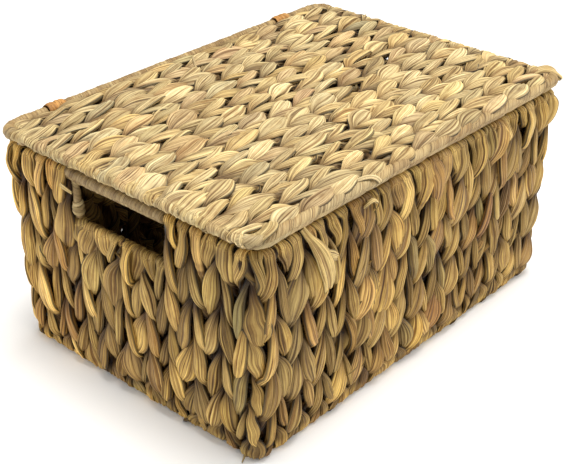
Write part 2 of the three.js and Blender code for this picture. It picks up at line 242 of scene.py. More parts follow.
def shade_depth(s, dep, first, last):
    """The depth that a strand's painted shade goes by; round the end wires it lies open and gets little of it."""
    loop = np.maximum(smoothstep((first + 7 - s) / 9), smoothstep((s - last + 7) / 9))
    return dep * (1 - loop) + np.where(dep < 0, -8.2, 8.2) * loop


def smooth_path(path, closed):
    out = path.copy()
    out[:, :3] = smoothed(path[:, :3], 1.8, closed)
    out[:, 3:5] = smoothed(path[:, 3:5], 2.5, closed)
    out[:, 5:8] = smoothed(path[:, 5:8], 2.4, closed)
    return out


def resample(P, arrays, spacing, closed):
    """Even steps along the world path P."""
    Q = np.concatenate([P, P[:1]]) if closed else P
    d = np.concatenate([[0], np.cumsum(np.linalg.norm(np.diff(Q, axis=0), axis=1))])
    n = max(int(round(d[-1] / spacing)), 4)
    at = np.linspace(0, d[-1], n + 1)
    if closed:
        at = at[:-1]
    out = []
    for a in [P] + arrays:
        E = np.concatenate([a, a[:1]]) if closed else a
        out.append(np.stack([np.interp(at, d, E[:, c]) for c in range(E.shape[1])], 1))
    return at, out


def tangents(P, closed):
    if closed:
        return unit(np.roll(P, -1, 0) - np.roll(P, 1, 0))
    return unit(np.gradient(P, axis=0))


class Grid:
    """A tube: n rings of m points, with its colour and fibre coordinates."""

    def __init__(self, co, fib, tone, closed):
        self.co, self.fib, self.tone, self.closed = co, fib, tone, closed


def strand_tube(rng, P, N, w, t, x, closed, tone, m=46, spacing=1.7, rough=1.0, floor_z=None, out_n=None, dep=None,
                 full=9.4, low=(0.09, 0.055, 0.028)):
    """The tube of one strand: a flattened, ridged, creased stem. tone is (n, 4); its last
    channel becomes how deep each point lies in a crease. out_n and dep say which way is out
    of the weave and how far out each step is; deep in the weave the strands get painted shade, browner and darker."""
    if out_n is None:
        out_n, dep = N, np.full(len(P), 9.0)
    at, (P, N, wt, xt, out_n) = resample(P, [N, np.stack([w, t], 1), np.concatenate([x[:, None], dep[:, None], tone], 1), out_n],
                                         spacing, closed)
    w, t, x, dep, tone = wt[:, :1], wt[:, 1:2], xt[:, 0], xt[:, 1:2], xt[:, 2:]
    T = tangents(P, closed)
    N = unit(N - (N * T).sum(1, keepdims=True) * T)
    U = np.cross(T, N)
    tau = np.arange(m) / m * 2 * PI
    a = tau + 0.5 * np.cos(tau)
    a = a[None, :]
    ca, sa = np.cos(a), np.sin(a)
    u = w * np.sign(ca) * np.abs(ca) ** 0.95
    v = t * np.sign(sa) * np.abs(sa) ** 1.25
    nrm = np.sqrt((ca * t) ** 2 + (sa * w) ** 2) + 1e-6
    nu, nv = ca * t / nrm, sa * w / nrm
    s = at[:, None]
    fine = np.zeros((len(P), m))
    for j, amp in ((6, 0.15), (9, 0.17), (12, 0.17), (15, 0.13)):
        drift = 0.25 * np.sin(2 * PI * s / rng.uniform(50, 120) + rng.uniform(0, 6.3))
        fine += amp * rng.uniform(0.5, 1.4) * np.cos(j * a + rng.uniform(0, 6.3) + drift)
    size = int(max(x.max(), 0)) + 9
    env = np.clip(np.abs(np.cos(PI * x)), 0, 1)[:, None]
    folds = np.zeros_like(fine)
    deep = np.zeros_like(fine)
    for _ in range(8):
        ac = leafval(x, rng.uniform(0.35, PI - 0.35, size))[:, None]
        ah = leafval(x, rng.uniform(0.1, 0.9, size) * (rng.random(size) < 0.6))[:, None] * (0.5 + 0.5 * env)
        ah = ah * np.minimum(1, w / 6)
        wid = rng.uniform(0.05, 0.085)
        side = rng.choice([-1, 1])
        dip = np.exp(-((a - ac) / wid) ** 2)
        folds += ah * (-dip + 0.5 * np.exp(-((a - ac - side * 0.3) / 0.2) ** 2))
        deep += ah * dip
    # fine grooves between the fibres
    grooves = np.zeros_like(fine)
    for j in (17, 23):
        drift = 0.5 * np.sin(2 * PI * s / rng.uniform(60, 140) + rng.uniform(0, 6.3))
        g = (0.5 + 0.5 * np.cos(j * a + rng.uniform(0, 6.3) + drift)) ** 4
        grooves += g * leafval(x, rng.uniform(0.15, 1.0, size))[:, None]
    folds -= 0.15 * grooves * np.minimum(1, w / 5)
    # the end of a leaf is pleated where it tucks in
    tip = np.exp(-((((x + 0.5) % 2.0) - 0.90) / 0.085) ** 2) * leafval(x, rng.uniform(-0.5, 1.0, size).clip(0))
    pleat = np.sin(2 * PI * (at + 0.9 * rng.normal()) / rng.uniform(2.0, 2.6))
    folds += (0.38 * tip * pleat)[:, None] * np.minimum(1, w / 5) * (sa > -0.2)
    deep += (0.9 * tip * np.clip(-pleat, 0, 1))[:, None]
    dish = leafval(x, rng.uniform(-0.5, 0.9, size).clip(0))[:, None]
    folds -= dish * np.exp(-((a - PI / 2) / 0.6) ** 2) * np.minimum(1, w / 6)
    off = rough * (fine + folds) * np.minimum(1, t / 1.6)
    co = P[:, None, :] + (u + nu * off)[..., None] * U[:, None, :] + (v + nv * off)[..., None] * N[:, None, :]
    if floor_z is not None:
        co[..., 2] = np.maximum(co[..., 2], floor_z)
    seed = rng.uniform(0, 4000)
    fib = np.stack([np.broadcast_to(s + seed, off.shape), 5.4 * np.broadcast_to(ca, off.shape) + seed * 0.37,
                    5.4 * np.broadcast_to(sa, off.shape)], -1)
    tn = np.repeat(tone[:, None, :], m, 1)
    # the last channel is how much painted shade each point gets in creases, pleat valleys, fibre grooves and ridge
    # hollows
    tn[..., 3] = np.clip(1.1 * deep + 0.62 * grooves + 0.9 * np.clip(-fine - 0.05, 0, 1), 0, 1)
    # painted shade: dark right at the edge where a leaf meets its neighbour, with a painted highlight just beside it;
    # deep parts get painted shade, browner
    high = np.abs(dep + u * (U * out_n).sum(1, keepdims=True) + v * (N * out_n).sum(1, keepdims=True))
    lift = smoothstep((high - 1.0) / (full - 1.0))[..., None]
    inward = np.clip(-1.4 * (nu * (U * out_n).sum(1, keepdims=True) + nv * (N * out_n).sum(1, keepdims=True)), 0, 1)[..., None]
    low = np.array(low) * (1 - inward) + np.array([0.50, 0.42, 0.33]) * inward      # painted shade is lighter on faces turned inward
    shade = low * (1 - lift) + lift
    rim = (1 + 0.26 * np.exp(-((np.abs(sa) - 0.60) / 0.14) ** 2)) * (1 - 0.78 * np.exp(-(sa / 0.34) ** 4))
    tn[..., :3] *= rim[..., None] * shade
    return Grid(co, fib, tn, closed)


def build_piece(name, grids, material, body, nodes=()):
    """One object from many tubes, with an even strip layout for its surface map."""
    cos, fibs, tones, quads, caps, uvs = [], [], [], [], [], []
    base, used = 0, 0
    total = sum((len(g.co) if g.closed else len(g.co) - 1) for g in grids)
    rows = max(int(round(math.sqrt(0.066 * total))), 1)
    per = int(math.ceil(total / rows))
    for g in grids:
        n, m = g.co.shape[:2]
        cos.append(g.co.reshape(-1, 3))
        fibs.append(g.fib.reshape(-1, 3))
        tones.append(g.tone.reshape(-1, 4))
        rings = n if g.closed else n - 1
        i = np.arange(rings)[:, None]
        j = np.arange(m)[None, :]
        i2, j2 = (i + 1) % n, (j + 1) % m
        q = np.stack(np.broadcast_arrays(i * m + j, i * m + j2, i2 * m + j2, i2 * m + j), -1)
        quads.append(q.reshape(-1, 4) + base)
        slotno = used + i
        cx = (slotno % per) / per
        cy = slotno // per
        x0, x1 = cx + 0 * j, cx + 1 / per + 0 * j
        y0 = (cy + 0.04 + 0.92 * j / m) / rows
        y1 = (cy + 0.04 + 0.92 * (j + 1) / m) / rows
        uvs.append(np.stack([np.stack([x0, y0], -1), np.stack([x0, y1], -1),
                             np.stack([x1, y1], -1), np.stack([x1, y0], -1)], -2).reshape(-1, 4, 2))
        if not g.closed:
            caps.append(np.arange(m) + base)
            caps.append(np.arange(m)[::-1] + base + (n - 1) * m)
        used += rings
        base += n * m
    co = np.concatenate(cos)
    quad = np.concatenate(quads)
    uv = np.concatenate(uvs)
    me = bpy.data.meshes.new(name)
    nq, nc = len(quad), len(caps)
    loops = np.concatenate([quad.ravel()] + [c for c in caps]) if nc else quad.ravel()
    starts = np.concatenate([np.arange(nq) * 4, nq * 4 + np.concatenate([[0], np.cumsum([len(c) for c in caps])[:-1]])]) if nc else np.arange(nq) * 4
    me.vertices.add(len(co))
    me.vertices.foreach_set("co", (co * MM).astype(np.float32).ravel())
    me.loops.add(len(loops))
    me.loops.foreach_set("vertex_index", loops.astype(np.int32))
    me.polygons.add(nq + nc)
    me.polygons.foreach_set("loop_start", starts.astype(np.int32))
    me.update(calc_edges=True)
    me.polygons.foreach_set("use_smooth", np.ones(nq + nc, bool))
    layer = me.uv_layers.new(name="OFBake")
    flat = np.zeros((len(loops), 2), np.float32)
    flat[: nq * 4] = uv.reshape(-1, 2)
    if nc:
        k = nq * 4
        for c in caps:
            ang = np.arange(len(c)) / len(c) * 2 * PI
            flat[k:k + len(c), 0] = 0.0015 + 0.001 * np.cos(ang)
            flat[k:k + len(c), 1] = 0.0015 + 0.001 * np.sin(ang)
            k += len(c)
    layer.data.foreach_set("uv", flat.ravel())
    fib = me.attributes.new("fib", "FLOAT_VECTOR", "POINT")
    fib.data.foreach_set("vector", np.concatenate(fibs).astype(np.float32).ravel())
    tone = me.attributes.new("tone", "FLOAT_COLOR", "POINT")
    tone.data.foreach_set("color", np.concatenate(tones).astype(np.float32).ravel())
    me.validate()
    me.update()
    ob = bpy.data.objects.new(name, me)
    bpy.context.scene.collection.objects.link(ob)
    me.materials.append(material)
    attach(ob, body)
    if nodes:
        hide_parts(*nodes)
    return ob


# ------------------------------------------------------------------------ colours
def srgb(r, g, b):
    c = np.array([r, g, b], float) / 255
    return np.where(c <= 0.04045, c / 12.92, ((c + 0.055) / 1.055) ** 2.4)


# the walls get darker tones than the lid: partly the strands' own colour, partly painted shade for walls that get less
# of the top light
WALL_TONES = [
    (srgb(212, 182, 120), 0.26), (srgb(192, 161, 98), 0.28), (srgb(164, 134, 80), 0.14),
    (srgb(168, 124, 74), 0.12), (srgb(162, 148, 102), 0.05), (srgb(200, 168, 96), 0.14),
]
LID_TONES = [
    (srgb(234, 212, 160), 0.34), (srgb(222, 197, 142), 0.32), (srgb(214, 180, 112), 0.12),
    (srgb(208, 174, 130), 0.07), (srgb(202, 188, 146), 0.06), (srgb(226, 198, 134), 0.12),
]


def pick_tone(rng, tones, spread=0.10):
    p = np.array([w for _, w in tones])
    c = tones[rng.choice(len(tones), p=p / p.sum())][0]
    c = c * (0.85 + 0.15 * rng.random()) + 0.15 * rng.random() * (tones[0][0] - c)
    return np.clip(c * math.exp(rng.normal() * spread), 0.01, 0.9)


def tone_along(rng, x, which, tones, start=(0.28, 0.19, 0.12), vary=0.17):
    """Colour of a strand at each step: its own tone, each leaf a little different,
    with painted shade where it comes out from under the row before and a painted highlight near each leaf's tip."""
    out = np.zeros((len(x), 4))
    start = np.array(start)
    for k in (0, 1):
        own = pick_tone(rng, tones)
        size = int(max(x.max(), 0)) + 9
        leaf = np.stack([0.5 * own + 0.5 * pick_tone(rng, tones) for _ in range(size)])
        leaf *= np.exp(rng.normal(size=(size, 1)) * vary)
        col = np.stack([leafval(x, leaf[:, c], 4.0) for c in range(3)], 1)
        along = (x + 0.5) % 2.0
        reach = leafval(x, rng.uniform(0.6, 1.0, size), 4.0)
        # painted shade at each leaf's start, under the row before, and a painted highlight near its tip
        mix = (smoothstep((0.58 - along) / 0.48) * reach)[:, None]
        col = col * (1 - mix * (1 - start[None, :])) * (1 + 0.20 * np.exp(-((along - 0.95) / 0.15) ** 2))[:, None]
        pick = which < 0.5 if k == 0 else which >= 0.5
        out[pick, :3] = col[pick]
    return out


# ---------------------------------------------------------------------- materials
def fibre_material(name, rough=0.62, gain=1.0, tint=(1.0, 1.04, 1.15), bump=0.00035, streak=1.0):
    mat = bpy.data.materials.new(name)
    mat.use_nodes = True
    nt = mat.node_tree
    nodes, links = nt.nodes, nt.links
    nodes.clear()
    out = nodes.new("ShaderNodeOutputMaterial")
    bsdf = nodes.new("ShaderNodeBsdfPrincipled")
    links.new(bsdf.outputs["BSDF"], out.inputs["Surface"])
    bsdf.inputs["Specular IOR Level"].default_value = 0.32
    tone = nodes.new("ShaderNodeAttribute"); tone.attribute_name = "tone"
    fib = nodes.new("ShaderNodeAttribute"); fib.attribute_name = "fib"

    def mapping(scale):
        mp = nodes.new("ShaderNodeVectorMath"); mp.operation = "MULTIPLY"
        links.new(fib.outputs["Vector"], mp.inputs[0])
        mp.inputs[1].default_value = scale
        return mp.outputs["Vector"]

    def noise(scale, detail, vec):
        n = nodes.new("ShaderNodeTexNoise")
        n.inputs["Scale"].default_value = scale
        n.inputs["Detail"].default_value = detail
        n.inputs["Roughness"].default_value = 0.6
        links.new(vec, n.inputs["Vector"])
        return n.outputs["Fac"]

    def ramp(fac, stops):
        r = nodes.new("ShaderNodeValToRGB")
        els = r.color_ramp.elements
        while len(els) < len(stops):
            els.new(0.5)
        for e, (p, c) in zip(els, stops):
            e.position = p
            e.color = (*c, 1) if len(c) == 3 else c
        links.new(fac, r.inputs["Fac"])
        return r.outputs["Color"]

    def mixc(kind, fac, a, b):
        mx = nodes.new("ShaderNodeMix"); mx.data_type = "RGBA"; mx.blend_type = kind
        if isinstance(fac, float):
            mx.inputs["Factor"].default_value = fac
        else:
            links.new(fac, mx.inputs["Factor"])
        for sock, val in ((mx.inputs[6], a), (mx.inputs[7], b)):
            if isinstance(val, tuple):
                sock.default_value = val
            else:
                links.new(val, sock)
        return mx.outputs[2]

    broad = noise(1.0, 2.0, mapping((0.014, 0.86, 0.86)))
    fine = noise(1.0, 3.0, mapping((0.020, 1.22, 1.22)))
    hair = noise(1.0, 2.0, mapping((0.06, 3.6, 3.6)))
    blot = noise(1.0, 3.0, mapping((0.07, 0.16, 0.16)))
    col = tone.outputs["Color"]
    col = mixc("MULTIPLY", 0.55 * streak, col, ramp(broad, [(0.34, (0.46, 0.37, 0.28)), (0.47, (0.92, 0.90, 0.87)), (0.63, (1.20, 1.20, 1.18))]))
    col = mixc("MULTIPLY", 0.9 * streak, col, ramp(fine, [(0.36, (0.24, 0.17, 0.11)), (0.43, (0.90, 0.87, 0.82)), (0.60, (1.24, 1.24, 1.22))]))
    col = mixc("MULTIPLY", 0.8, col, ramp(hair, [(0.34, (0.58, 0.50, 0.40)), (0.48, (0.98, 0.97, 0.96)), (0.68, (1.16, 1.16, 1.16))]))
    col = mixc("MULTIPLY", 0.6, col, ramp(blot, [(0.36, (0.74, 0.64, 0.52)), (0.5, (1.0, 1.0, 1.0)), (0.68, (1.06, 1.05, 1.0))]))
    # painted shade in the creases, pleat valleys, fibre grooves and ridge hollows
    col = mixc("MULTIPLY", tone.outputs["Alpha"], col, (0.32, 0.23, 0.15, 1))
    col = mixc("MULTIPLY", 1.0, col, (gain * tint[0], gain * tint[1], gain * tint[2], 1))
    links.new(col, bsdf.inputs["Base Color"])
    # gloss a little uneven along the fibres
    rr = nodes.new("ShaderNodeMapRange")
    rr.inputs["To Min"].default_value = rough + 0.12
    rr.inputs["To Max"].default_value = rough - 0.12
    links.new(fine, rr.inputs["Value"])
    links.new(rr.outputs["Result"], bsdf.inputs["Roughness"])
    # fine fibre relief
    add = nodes.new("ShaderNodeMath"); add.operation = "MULTIPLY_ADD"
    links.new(fine, add.inputs[0]); add.inputs[1].default_value = 1.0
    sc = nodes.new("ShaderNodeMath"); sc.operation = "MULTIPLY"
    links.new(hair, sc.inputs[0]); sc.inputs[1].default_value = 0.45
    links.new(sc.outputs[0], add.inputs[2])
    bp = nodes.new("ShaderNodeBump")
    bp.inputs["Strength"].default_value = 1.0
    bp.inputs["Distance"].default_value = bump
    links.new(add.outputs[0], bp.inputs["Height"])
    links.new(bp.outputs["Normal"], bsdf.inputs["Normal"])
    return mat


def wire_material():
    mat = bpy.data.materials.new("drawn_wire")
    mat.use_nodes = True
    nt = mat.node_tree
    bsdf = nt.nodes["Principled BSDF"]
    bsdf.inputs["Metallic"].default_value = 1.0
    tc = nt.nodes.new("ShaderNodeTexCoord")
    ns = nt.nodes.new("ShaderNodeTexNoise")
    ns.inputs["Scale"].default_value = 160
    ns.inputs["Detail"].default_value = 4
    nt.links.new(tc.outputs["Object"], ns.inputs["Vector"])
    r = nt.nodes.new("ShaderNodeValToRGB")
    r.color_ramp.elements[0].position, r.color_ramp.elements[0].color = 0.3, (0.035, 0.027, 0.022, 1)
    r.color_ramp.elements[1].position, r.color_ramp.elements[1].color = 0.62, (0.11, 0.098, 0.086, 1)
    nt.links.new(ns.outputs["Fac"], r.inputs["Fac"])
    nt.links.new(r.outputs["Color"], bsdf.inputs["Base Color"])
    rr = nt.nodes.new("ShaderNodeMapRange")
    rr.inputs["To Min"].default_value, rr.inputs["To Max"].default_value = 0.66, 0.5
    nt.links.new(ns.outputs["Fac"], rr.inputs["Value"])
    nt.links.new(rr.outputs["Result"], bsdf.inputs["Roughness"])
    return mat


WALL_MAT = fibre_material("wall_strand", rough=0.60, gain=1.04, tint=(1.0, 1.0, 0.83))
LID_MAT = fibre_material("lid_strand", rough=0.62, gain=0.86, tint=(1.0, 1.05, 1.09), streak=0.8)
BIND_MAT = fibre_material("binding_strip", rough=0.58, gain=0.92, tint=(1.0, 1.05, 1.08), bump=0.0002, streak=0.9)
TIE_MAT = fibre_material("tie_strip", rough=0.62, tint=(1.0, 1.0, 1.0), bump=0.0002, streak=0.9)
WIRE_MAT = wire_material()
for node_name, ob in frame["nodes"].items():
    if node_name.endswith("_wire") or "_wire_" in node_name or node_name.startswith(("corner_post", "handle_post_left_", "handle_post_right_")):
        ob.data.materials.clear()
        ob.data.materials.append(WIRE_MAT)


# --------------------------------------------------------------------------- walls
def wall_columns(side):
    """Tubes of all columns of one wall, from left to right seen from outside."""
    cols = COLS_LONG if side in (0, 2) else COLS_SHORT
    out = []
    for k in range(cols):
        f = k / cols * 2 - 1
        sigma = 1 if k % 2 == 0 else -1
        top = RIM_Z
        push = None
        crng = np.random.default_rng([11, side, k])
        if side in (1, 3):
            out_y = 1 if side == 1 else -1       # which way the side's own axis runs in y
            y_mid = f * 129.7 * out_y
            if -42 < y_mid < 57:
                top = HOOP_Z[0]
            elif 57 < y_mid < 70:
                push = lambda s, d=4.0 * out_y: d * smoothstep((44 - s) / 20)
        z_k = ([RIM_Z] if top == RIM_Z else []) + HOOP_Z + [RING_Z]
        stations = [RIM_Z - z for z in z_k]
        t_first = 2.15 if top == RIM_Z else 2.0
        w0 = (8.3 if side in (0, 2) else 8.5) * math.exp(crng.normal() * 0.08)
        w0 *= (0.82 if sigma > 0 else 1.14) if side in (0, 2) else 0.93
        edge_k = min(k, cols - k)
        if edge_k in (1, 2, 3) and side in (0, 1, 2, 3):
            # the columns beside a corner lean over to it
            d = {1: 4.6, 2: 2.8, 3: 1.2}[edge_k] * (-1 if k == edge_k else 1)
            push = lambda s, d=d: d + 0 * s
            w0 *= {1: 0.84, 2: 0.98, 3: 1.0}[edge_k]
        (path,) = twisted_pair(crng, stations, sigma, w0 * (0.86 if k == 0 else 1), 3.4, t_first, 1.9,
                               amp={0: 1.0, 1: 3.4, 2: 4.2}.get(edge_k, 4.6), push=push, fill=(1.0 if sigma > 0 else 0.72) if side in (0, 2) else 0.95, stagger=0.46,
                               loop_w=0.8 if top == RIM_Z else 0.9, back_w=1.55, inside=0.76, over=1.6 if side in (0, 2) else 1.0, lap=0.05,
                               lag=LAG + (math.radians(-18 if sigma > 0 else 8) + 0.26 * float(np.clip(crng.normal(), -1.7, 1.7))) * (k != 0),
                               tilt=0.3, wide=0.30, proud=0.9, bulge=0.96 if k == 0 else 1.14)
        s_ = path[:, 2]
        if top == RIM_Z:
            path[:, 3] *= 1 + (0.10 if k == 0 else -0.16 if edge_k <= 1 else -0.08) * smoothstep((26 - s_) / 14)
        path[:, 1] += 0.4 * crng.normal() * smoothstep((s_ - stations[0]) / 20) * smoothstep((stations[-1] - s_) / 20)
        x, which = path[:, 8].copy(), path[:, 9].copy()
        path = smooth_path(path, True)
        z = RIM_Z - path[:, 2]
        P, n_out, t_lat = wall_frame(side, f, path[:, 0], path[:, 1], z)
        N = path[:, 5:6] * t_lat + path[:, 6:7] * n_out + path[:, 7:8] * np.array([0, 0, -1.0])
        tone = tone_along(crng, x, which, WALL_TONES[:2] if k == 0 else WALL_TONES)
        if side == 3 and k < 8:
            tone[:, :3] *= (1.5, 1.6, 1.65, 1.6, 1.5, 1.35, 1.2, 1.1)[k]       # painted light: that end of the wall is made paler, most at the back corner
        # painted shade by depth in the weave; the corner column reaches full colour at a smaller depth
        open_dep = shade_depth(path[:, 2], path[:, 1], stations[0], stations[-1])
        out.append(strand_tube(crng, P, N, path[:, 3], path[:, 4], x, True, tone, floor_z=0.05, out_n=n_out, dep=open_dep,
                               full=7.0 if k == 0 else 11.0))
    return out


SIDES = ("front", "right", "back", "left")
for side, word in enumerate(SIDES):
    tubes = wall_columns(side)
    parts = 4 if side in (0, 2) else 3
    cut = [round(len(tubes) * i / parts) for i in range(parts + 1)]
    for i in range(parts):
        build_piece(f"{word}_wall_strands_{i + 1}", tubes[cut[i]:cut[i + 1]], WALL_MAT, "basket",
                    nodes=(f"weave_{word}",))


# ----------------------------------------------------------------------------- lid
def lid_rows():
    out = []
    for k in range(ROWS_LID):
        edge_x = 185.0 if k in (0, ROWS_LID - 1) else LID_X
        stations = [-edge_x, *CROSS_X, edge_x]
        y0 = -132.5 + k * 10.48 - (0.5 if k == 0 else 0)
        sigma = 1 if k % 2 == 0 else -1
        crng = np.random.default_rng([23, k])
        push = None
        if k >= ROWS_LID - 1:
            def push(s):
                out_ = 0 * s
                for tx in TIE_X:
                    out_ = out_ - 2.6 * np.exp(-((s - tx) / 12) ** 2)
                return out_
        w0 = (7.8 if k % 2 == 0 else 8.1) * math.exp(crng.normal() * 0.07)
        if k == 0:
            y0, w0 = y0 - 0.8, w0 * 0.90
        if k == ROWS_LID - 1:
            y0, w0 = y0 - 3.0, w0 * 0.82
        (path,) = twisted_pair(crng, stations, sigma, w0, 2.75, 1.7, 1.7, amp=3.4 if k in (0, ROWS_LID - 1) else 4.5, push=push, loop_w=0.95, proud=0.5,
                               over=2.4, back_w=1.0 if k in (0, ROWS_LID - 1) else 1.5, fill=1.0 if sigma > 0 else 0.68, bulge=0.84 if k in (0, ROWS_LID - 1) else 1.0, wide=0.14 if k == 0 else 0.2, lag=math.radians(20), inside=0.74,
                               broad_tip=0.08, stagger=0.38)
        x, which = path[:, 8].copy(), path[:, 9].copy()
        path = smooth_path(path, True)
        P = np.stack([path[:, 2], y0 + path[:, 0], LID_Z + path[:, 1]], 1)
        N = np.stack([path[:, 7], path[:, 5], path[:, 6]], 1)
        tone = tone_along(crng, x, which, LID_TONES, start=(0.66, 0.55, 0.42), vary=0.08)
        up = np.tile([0.0, 0, 1.0], (len(P), 1))
        # the lid's strands get lighter painted shade deep in the weave
        out.append(strand_tube(crng, P, N, path[:, 3], path[:, 4], x, True, tone, out_n=up,
                               dep=shade_depth(path[:, 2], path[:, 1], -edge_x, edge_x), full=8.0, low=(0.20, 0.14, 0.09)))
    return out


tubes = lid_rows()
for i in range(7):
    a, b = round(ROWS_LID * i / 7), round(ROWS_LID * (i + 1) / 7)
    build_piece(f"lid_strands_{i + 1}", tubes[a:b], LID_MAT, "lid",
                nodes=("lid_weave", "lid_end_loops_left", "lid_end_loops_right"))


# ---------------------------------------------------------------------------- base
def base_rows():
    out = []
    half = LOOP_X + LEAN_X * RING_Z
    xs = [-half + 2 * half / 8 * i for i in range(9)]
    n_rows = 22
    for k in range(n_rows):
        y0 = -117.5 + (k + 0.5) * 235.0 / n_rows
        sigma = 1 if k % 2 == 0 else -1
        crng = np.random.default_rng([37, k])
        w0 = 6.8 * math.exp(crng.normal() * 0.07)
        for path in twisted_pair(crng, xs, sigma, w0, 1.8, 1.8, 1.8, amp=3.4, closed=False, proud=0.1, tilt=0.12):
            keep = np.abs(path[:, 2]) < 181.0
            path = path[keep]
            x, which = path[:, 8].copy(), path[:, 9].copy()
            path = smooth_path(path, False)
            P = np.stack([path[:, 2], y0 + path[:, 0], RING_Z + path[:, 1]], 1)
            N = np.stack([path[:, 7], path[:, 5], path[:, 6]], 1)
            tone = tone_along(crng, x, which, WALL_TONES)
            out.append(strand_tube(crng, P, N, path[:, 3], path[:, 4], x, False, tone, m=22, spacing=2.8, floor_z=0.1))
    return out


tubes = base_rows()
for i in range(2):
    build_piece(f"base_strands_{i + 1}", tubes[i * 22:(i + 1) * 22], WALL_MAT, "basket", nodes=("weave_base",))


# ------------------------------------------------------------- wound strip on a bar
def wound_bar(rng, P, out_n, r0, pitch, step, tone, spacing=0.8, m=40, hand=1, ribs=0.10, rib_zone=None, jitter=0.25,
              squash=(1.0, 1.0), taper=0.0):
    """A strip wound round a bar that follows P. out_n points away from the object.
    pitch is the advance of one turn; step is how far a turn's edge stands over the next."""
    at, (P, out_n) = resample(P, [out_n], spacing, False)
    T = tangents(P, False)
    N = unit(out_n - (out_n * T).sum(1, keepdims=True) * T)
    U = np.cross(T, N)
    total = at[-1]
    edges = [0.0]
    while edges[-1] < total + 3 * pitch:
        edges.append(edges[-1] + pitch * math.exp(rng.normal() * jitter * 0.6))
    edges = np.array(edges) - 1.5 * pitch
    a = (np.arange(m) / m * 2 * PI)[None, :]
    s = at[:, None]
    turn = np.interp(s + 0 * a, edges, np.arange(len(edges))) + hand * a / (2 * PI)
    idx = np.floor(turn).astype(int)
    frac = turn - idx
    width = pitch
    edge = np.minimum(1.2 / max(width, 1e-3), 0.3)
    ramp = frac * smoothstep((1 - frac) / edge) if hand > 0 else frac * smoothstep((1 - frac) / edge)
    bulge = np.sin(PI * np.clip(frac, 0, 1))
    per = np.clip(rng.normal(size=idx.max() + 6), -1.5, 1.5)
    off = step * (ramp - 0.45) + 0.35 * step * bulge + 0.12 * per[idx + 2]
    L = (idx + a / (2 * PI)) * 2 * PI * r0
    across = frac * width
    for _ in range(5):
        lam = rng.uniform(1.7, 5.0)
        zone = 1.0 if rib_zone is None else rib_zone(P)[:, None]
        off = off + ribs * zone * rng.uniform(0.5, 1.3) * np.sin(2 * PI * across / lam + rng.uniform(0, 6.3) + 1.1 * np.sin(L / 9 + rng.uniform(0, 6.3)))
    off = off + 0.10 * np.sin(L / 5.3 + 2.0 * per[idx + 2]) + wander(rng, at, 0.12)[:, None]
    r = r0 + off
    if taper:
        end = np.minimum(smoothstep(at / taper), smoothstep((total - at) / taper))[:, None]
        r = r * (0.35 + 0.65 * end)
    co = P[:, None, :] + (r * squash[0] * np.cos(a))[..., None] * N[:, None, :] + (r * squash[1] * np.sin(a))[..., None] * U[:, None, :]
    seed = rng.uniform(0, 4000)
    fib = np.stack([L + seed, across * 0.9 + seed * 0.3, idx * 3.1 + 0 * a], -1)
    tones = np.stack([np.append(pick_tone(rng, tone, 0.06), rng.uniform(0.3, 1)) for _ in range(idx.max() + 6)])
    keep = np.mean(tones, 0)
    tones = 0.5 * tones + 0.5 * keep
    tn = tones[idx + 2]
    # painted shade along each turn where it runs under the raised edge of the turn before
    under = (smoothstep((0.10 - frac) / 0.10))[..., None]
    tn = tn * np.concatenate([np.ones(3) * 0.62 * under + (1 - under), 0 * under + 1], -1) if False else np.concatenate(
        [tn[..., :3] * (1 - 0.38 * under), tn[..., 3:]], -1)
    return Grid(co, fib, tn, False)


BIND_TONES = [(srgb(222, 196, 144), 0.4), (srgb(212, 184, 130), 0.3), (srgb(204, 176, 126), 0.15), (srgb(206, 190, 148), 0.15)]
GRIP_TONES = [(srgb(218, 194, 144), 0.4), (srgb(206, 180, 128), 0.3), (srgb(196, 172, 122), 0.3)]


def lid_edge_path(y_sign, x_from, x_to, turn_left, turn_right):
    """Points along the lid's edge wire on the front (-1) or back (+1), with its corners."""
    pts, nor = [], []
    cx, cy = LID_X - LID_CORNER, LID_Y - LID_CORNER

    def corner(sx, order):
        ang = np.linspace(0, PI / 2, 24)[1:-1]
        if order:  # from the end towards the long side
            ang = ang
        for q in (ang if order else ang[::-1]):
            n = np.array([sx * math.cos(q), y_sign * math.sin(q), 0])
            pts.append(np.array([sx * cx, y_sign * cy, 0]) + LID_CORNER * n)
            nor.append(n)

    if turn_left:
        for y in np.linspace(turn_left, cy, 6):
            pts.append(np.array([-LID_X, y_sign * y, 0])); nor.append(np.array([-1.0, 0, 0]))
        corner(-1, True)
        x_from = -cx
    if turn_right:
        x_to_ = cx
    else:
        x_to_ = x_to
    for x in np.linspace(x_from, x_to_, 120):
        pts.append(np.array([x, y_sign * LID_Y, 0])); nor.append(np.array([0, float(y_sign), 0]))
    if turn_right:
        corner(1, False)
        for y in np.linspace(cy, turn_right, 6):
            pts.append(np.array([LID_X, y_sign * y, 0])); nor.append(np.array([1.0, 0, 0]))
    P = np.array(pts) + np.array([0, 0, LID_Z])
    return smoothed(P, 1.0, False), np.array(nor)


def corner_zone(P):
    d = np.linalg.norm(np.abs(P[:, :2]) - [189.9, 133.4], axis=1)
    return 0.8 + 1.3 * smoothstep((45 - d) / 30)


rngb = np.random.default_rng(71)
P, N = lid_edge_path(-1, 0, 0, 122, 122)
build_piece("lid_front_binding", [wound_bar(rngb, P, N, 4.75, 27, 0.55, BIND_TONES, m=44, rib_zone=corner_zone, taper=3)],
            BIND_MAT, "lid", nodes=("lid_binding_front",))
for name, a0, a1, tl, tr in (("left", 0, TIE_X[0] - 7.6, 122, None), ("middle", TIE_X[0] + 7.6, TIE_X[1] - 7.6, None, None),
                             ("right", TIE_X[1] + 7.6, 0, None, 122)):
    P, N = lid_edge_path(1, a0, a1, tl, tr)
    build_piece(f"lid_back_binding_{name}", [wound_bar(rngb, P, N, 5.1, 3.9, 0.4, BIND_TONES, m=36, ribs=0.04, taper=2)],
                BIND_MAT, "lid", nodes=(f"lid_binding_back_{name}",))

